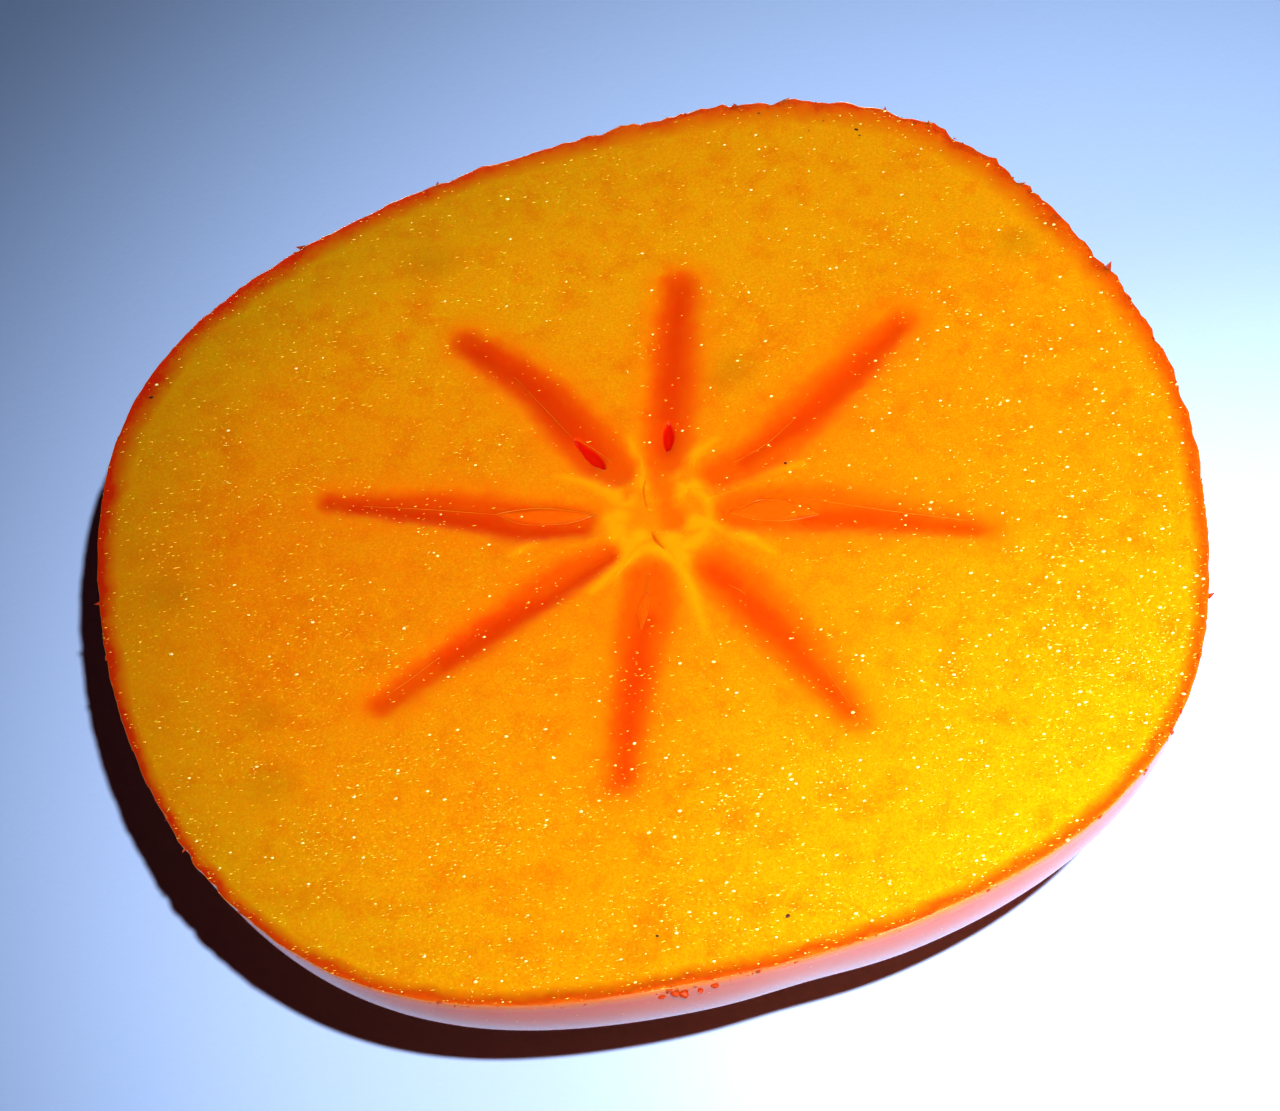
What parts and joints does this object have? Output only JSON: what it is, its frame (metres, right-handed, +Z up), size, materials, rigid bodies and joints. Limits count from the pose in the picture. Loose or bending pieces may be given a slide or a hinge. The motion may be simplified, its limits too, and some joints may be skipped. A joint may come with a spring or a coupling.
{
  "type": "persimmon half",
  "caption": "Flat, squarish persimmon cut across its core, lying on its rounded blossom end with the star of seed chambers facing up.",
  "frame": {"origin": "middle of the bounding box, on the surface that the fruit rests on", "axes": "+Z up out of the cut face, along the fruit's core; +X to the right and +Y away from someone who looks at the star as in the picture"},
  "size_m": [0.0746, 0.074, 0.02],
  "materials": {
    "flesh": "wet, slightly translucent orange-yellow fruit flesh, with orange-red jelly in the rays",
    "peel": "smooth, waxy orange-red fruit skin"
  },
  "bodies": {
    "root": {"persimmon_half": "flesh"}
  },
  "joints": []
}
